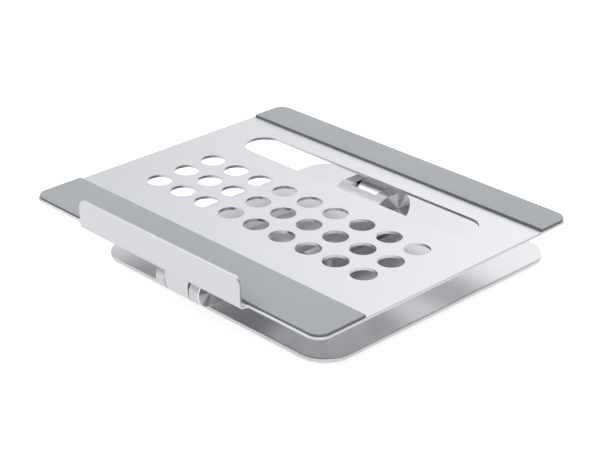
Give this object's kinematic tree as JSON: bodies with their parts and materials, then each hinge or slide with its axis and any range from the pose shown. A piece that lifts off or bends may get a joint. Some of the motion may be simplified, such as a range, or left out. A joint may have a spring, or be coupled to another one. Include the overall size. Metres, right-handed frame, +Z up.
{
  "type": "laptop stand",
  "caption": "Low folding laptop stand: perforated aluminium tray with front lip on one wide arm and a square base plate.",
  "frame": {"origin": "on the desk, under the middle of the folded stand's outline", "axes": "+X is the stand's width, to the right of someone sitting at it; +Y runs to the back; +Z is up"},
  "size_m": [0.282, 0.2664, 0.0679],
  "materials": {
    "anodised_aluminium": "fine bead-blasted silver anodising, satin; hinge side faces turned",
    "grey_silicone": "matte light grey silicone",
    "foot_silicone": "matte grey silicone",
    "hinge_steel": "plain zinc-plated steel",
    "screw_steel": "plated steel",
    "bush_plastic": "black acetal"
  },
  "bodies": {
    "base": {"base_plate": "anodised_aluminium", "base_feet": "foot_silicone", "base_bracket": "anodised_aluminium", "base_bracket_screws": "screw_steel", "rear_hinge_pin": "hinge_steel", "rear_hinge_thrust_washers": "bush_plastic", "rear_hinge_friction_disc": "bush_plastic", "rear_hinge_spring_washers": "hinge_steel", "rear_hinge_nut": "hinge_steel"},
    "arm": {"arm": "anodised_aluminium", "rear_hinge_bushes": "bush_plastic", "front_hinge_bushes": "bush_plastic", "rear_hinge_caps": "anodised_aluminium", "front_hinge_caps": "anodised_aluminium"},
    "tray": {"tray_plate": "anodised_aluminium", "front_pad": "grey_silicone", "rear_pad": "grey_silicone", "tray_bracket": "anodised_aluminium", "tray_bracket_screws": "screw_steel", "front_hinge_pin": "hinge_steel", "front_hinge_thrust_washers": "bush_plastic", "front_hinge_friction_disc": "bush_plastic", "front_hinge_spring_washers": "hinge_steel", "front_hinge_nut": "hinge_steel"}
  },
  "joints": [
    {"name": "arm_lift", "type": "hinge", "parent": "base", "child": "arm", "pos_m": [0, 0.06995, 0.0277], "axis": [-1, 0, 0], "range_deg": [0, 50]},
    {"name": "tray_tilt", "type": "hinge", "parent": "arm", "child": "tray", "pos_m": [0, -0.10685, 0.0264], "axis": [1, 0, 0], "range_deg": [0, 80]}
  ]
}
